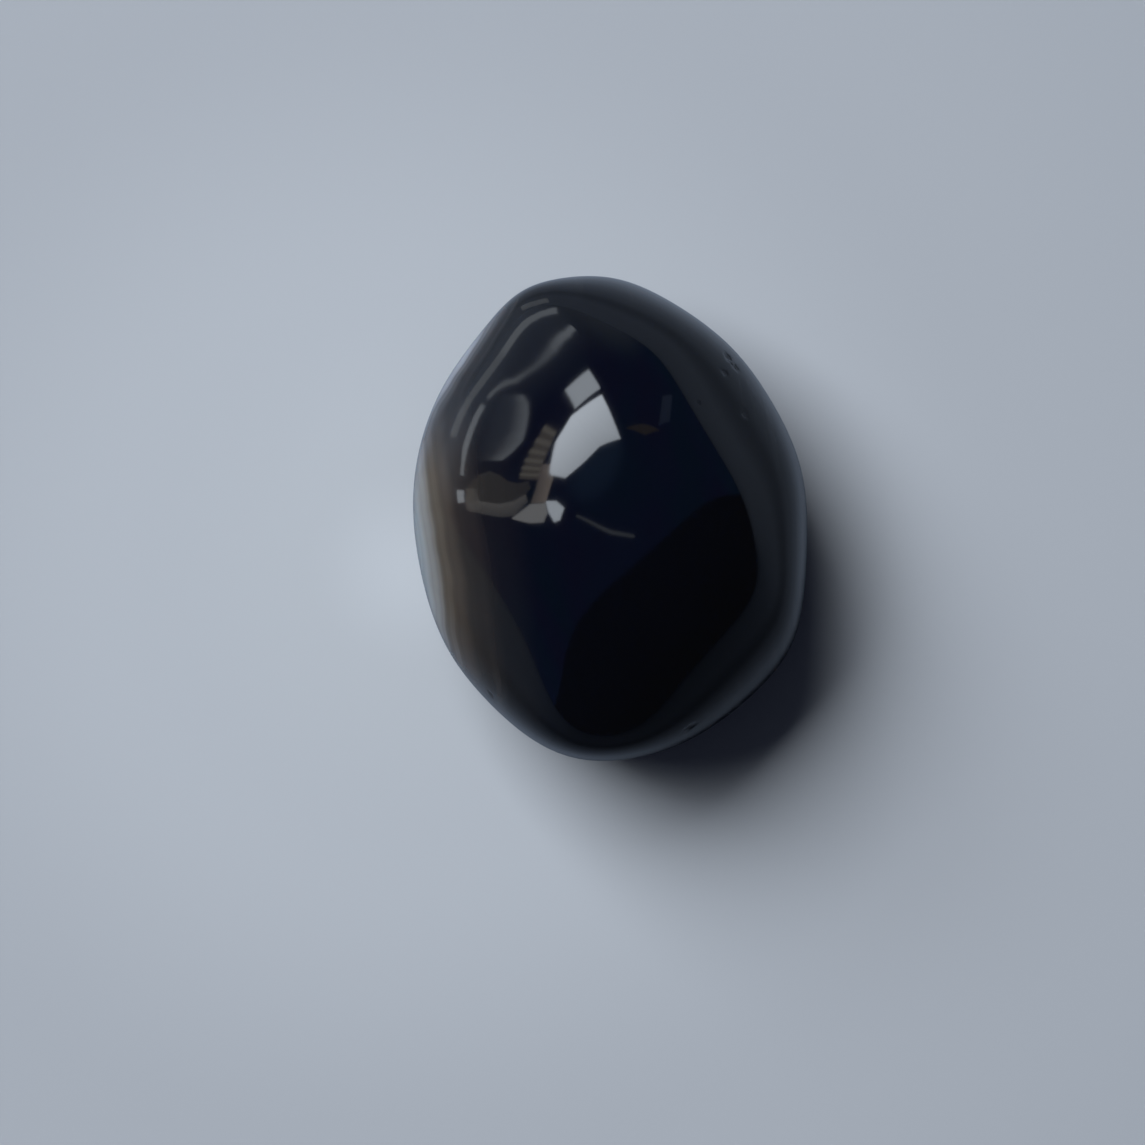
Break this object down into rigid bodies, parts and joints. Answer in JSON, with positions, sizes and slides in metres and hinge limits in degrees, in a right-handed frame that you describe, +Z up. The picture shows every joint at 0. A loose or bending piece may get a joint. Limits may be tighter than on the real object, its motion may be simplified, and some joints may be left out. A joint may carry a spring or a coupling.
{
  "type": "tumbled agate pebble",
  "caption": "Dark polished agate pebble, egg-shaped with soft worn flats, translucent brown at one thin edge, resting on a small flat underside.",
  "frame": {"origin": "on the surface that the stone rests on, under the middle of its outline seen from above", "axes": "+Z up out of the resting face; +Y along the stone's length, towards its slightly narrower end; +X across its width"},
  "size_m": [0.0202, 0.025, 0.0166],
  "materials": {
    "agate": "polished to a wet gloss, near black with a blue cast, smoky brown and translucent at one thin edge"
  },
  "bodies": {
    "root": {"agate_stone": "agate"}
  },
  "joints": []
}
